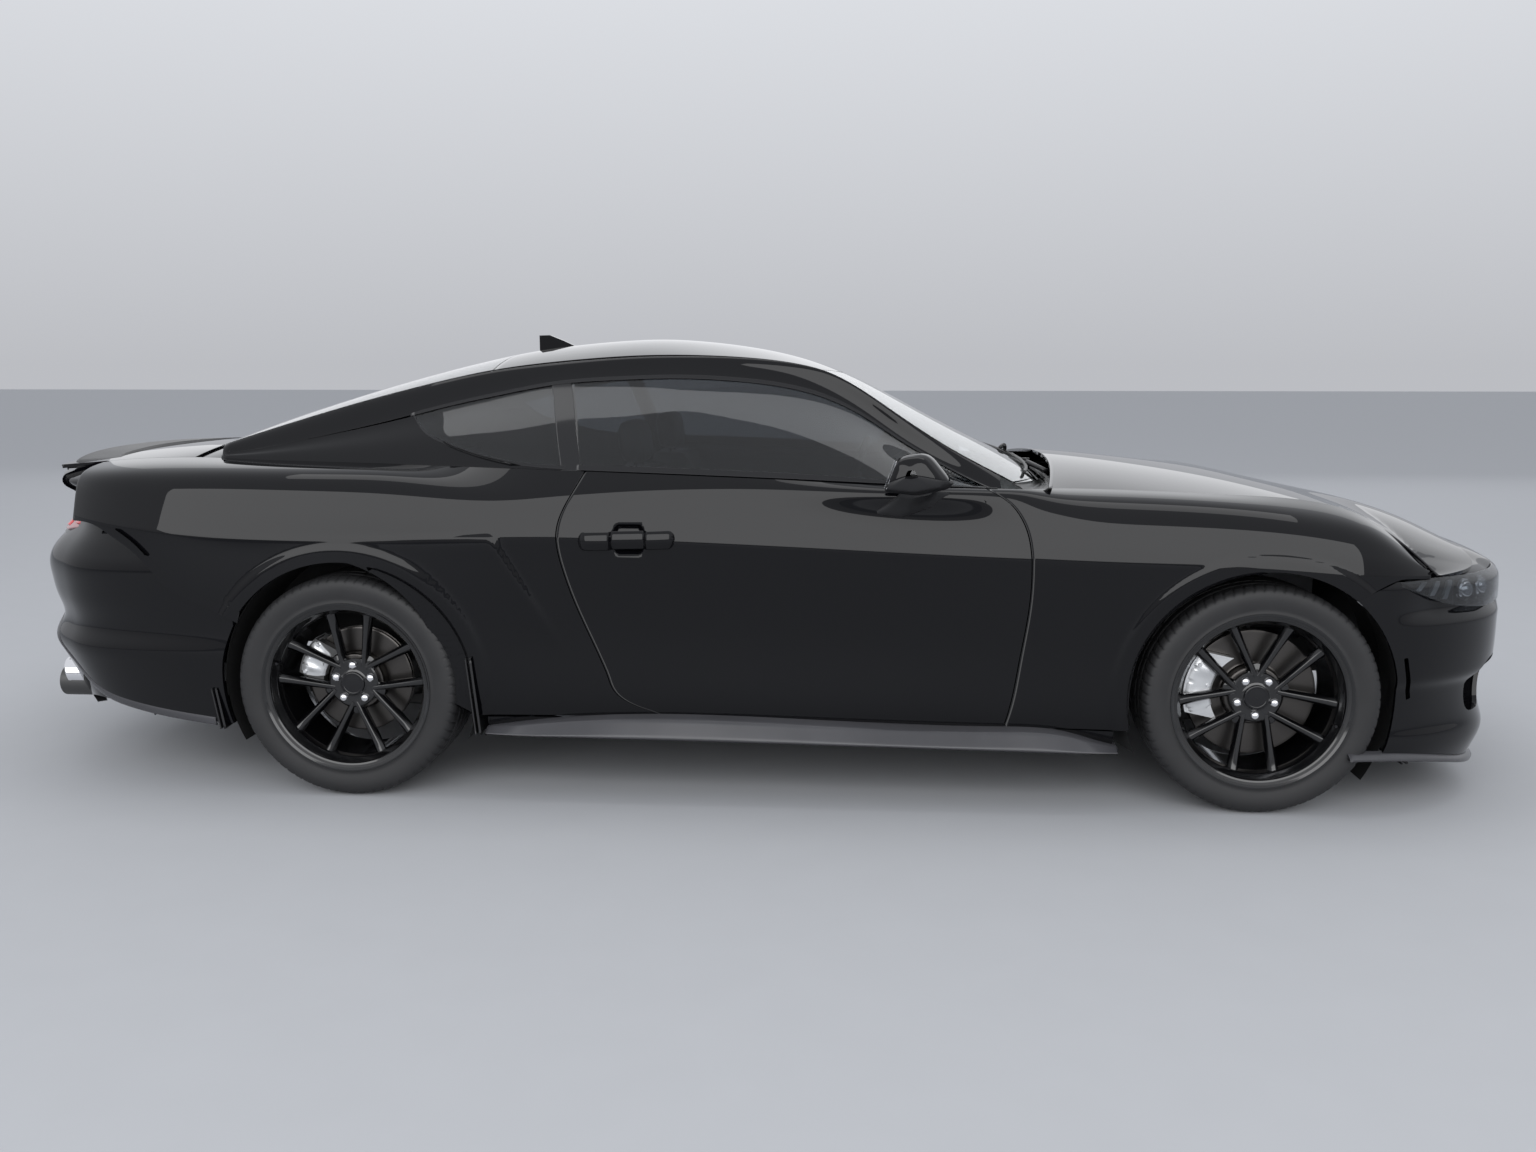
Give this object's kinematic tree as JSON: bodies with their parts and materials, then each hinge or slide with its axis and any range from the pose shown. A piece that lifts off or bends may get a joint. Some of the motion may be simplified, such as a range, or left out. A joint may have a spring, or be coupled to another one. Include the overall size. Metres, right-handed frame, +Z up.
{
  "type": "muscle car",
  "caption": "Gloss-black two-door fastback coupe with a long bonnet, twin-spoke wheels, opening doors, bonnet and boot lid, and steered front wheels.",
  "frame": {"origin": "on the ground, under the middle of the car's overall length and width", "axes": "+X forward, +Y to the car's left, +Z up"},
  "size_m": [4.8056, 2.144, 1.414],
  "materials": {
    "paint": "gloss",
    "black_trim": "satin",
    "gloss_trim": "gloss",
    "glass": "tinted",
    "tyre": "matte",
    "wheel": "gloss black",
    "lamp": "clear",
    "tail_lamp": "gloss",
    "steel": "satin",
    "underbody": "matte",
    "cloth": "matte",
    "engine": "matte"
  },
  "bodies": {
    "car": {"wings": "paint", "quarter_panels": "paint", "sills": "paint", "roof_panel": "paint", "windscreen": "glass", "rear_window": "glass", "side_frames": "paint", "quarter_windows": "glass", "front_bumper": "paint", "headlamps": "lamp", "front_grille": "black_trim", "rear_bumper": "paint", "tail_lamps": "tail_lamp", "floor_pan": "underbody", "wheel_liners": "black_trim", "front_subframe": "underbody", "rear_axle": "steel", "engine_block": "engine", "radiator": "steel", "exhausts": "steel", "dashboard": "black_trim", "front_seats": "cloth", "rear_seat": "cloth", "cowl_panel": "black_trim", "antenna_fin": "gloss_trim", "side_skirts": "gloss_trim"},
    "door_right": {"door_right": "paint", "door_glass_right": "glass", "mirror_right": "paint"},
    "door_left": {"door_left": "paint", "door_glass_left": "glass", "mirror_left": "paint"},
    "bonnet": {"bonnet": "paint"},
    "boot": {"boot_lid": "paint", "spoiler": "gloss_trim"},
    "hub_right": {"knuckle_right": "steel"},
    "hub_left": {"knuckle_left": "steel"},
    "road_wheel_front_right": {"tyre_front_right": "tyre", "wheel_front_right": "wheel"},
    "road_wheel_front_left": {"tyre_front_left": "tyre", "wheel_front_left": "wheel"},
    "road_wheel_rear_right": {"tyre_rear_right": "tyre", "wheel_rear_right": "wheel"},
    "road_wheel_rear_left": {"tyre_rear_left": "tyre", "wheel_rear_left": "wheel"},
    "steering": {"steering_wheel": "black_trim"}
  },
  "joints": [
    {"name": "door_right_swing", "type": "hinge", "parent": "car", "child": "door_right", "pos_m": [0.78, -0.938, 0.6], "axis": [0, 0, 1], "range_deg": [0, 65]},
    {"name": "door_left_swing", "type": "hinge", "parent": "car", "child": "door_left", "pos_m": [0.78, 0.938, 0.6], "axis": [0, 0, -1], "range_deg": [0, 65]},
    {"name": "bonnet_lift", "type": "hinge", "parent": "car", "child": "bonnet", "pos_m": [0.82, 0, 0.95], "axis": [0, -1, 0], "range_deg": [0, 50]},
    {"name": "boot_lift", "type": "hinge", "parent": "car", "child": "boot", "pos_m": [-1.76, 0, 1.062], "axis": [0, 1, 0], "range_deg": [0, 70]},
    {"name": "steer_left", "type": "hinge", "parent": "car", "child": "hub_left", "pos_m": [1.52, 0.66909, 0.343], "axis": [0, -0.2079, 0.9781], "range_deg": [-32, 32]},
    {"name": "steer_right", "type": "hinge", "parent": "car", "child": "hub_right", "pos_m": [1.52, -0.66909, 0.343], "axis": [0, 0.2079, 0.9781], "range_deg": [-32, 32]},
    {"name": "steering_wheel_turn", "type": "hinge", "parent": "car", "child": "steering", "pos_m": [0.31, 0.375, 0.86], "axis": [-0.9272, 0, 0.3746], "range_deg": [-480, 480]},
    {"name": "spin_front_right", "type": "hinge", "parent": "hub_right", "child": "road_wheel_front_right", "pos_m": [1.52, -0.791, 0.343], "axis": [0, 1, 0], "continuous": true},
    {"name": "spin_front_left", "type": "hinge", "parent": "hub_left", "child": "road_wheel_front_left", "pos_m": [1.52, 0.791, 0.343], "axis": [0, 1, 0], "continuous": true},
    {"name": "spin_rear_right", "type": "hinge", "parent": "car", "child": "road_wheel_rear_right", "pos_m": [-1.2, -0.824, 0.343], "axis": [0, 1, 0], "continuous": true},
    {"name": "spin_rear_left", "type": "hinge", "parent": "car", "child": "road_wheel_rear_left", "pos_m": [-1.2, 0.824, 0.343], "axis": [0, 1, 0], "continuous": true}
  ],
  "couplings": [
    {"joint": "steer_right", "follows": "steer_left", "ratio": 1},
    {"joint": "steering_wheel_turn", "follows": "steer_left", "ratio": 15}
  ]
}
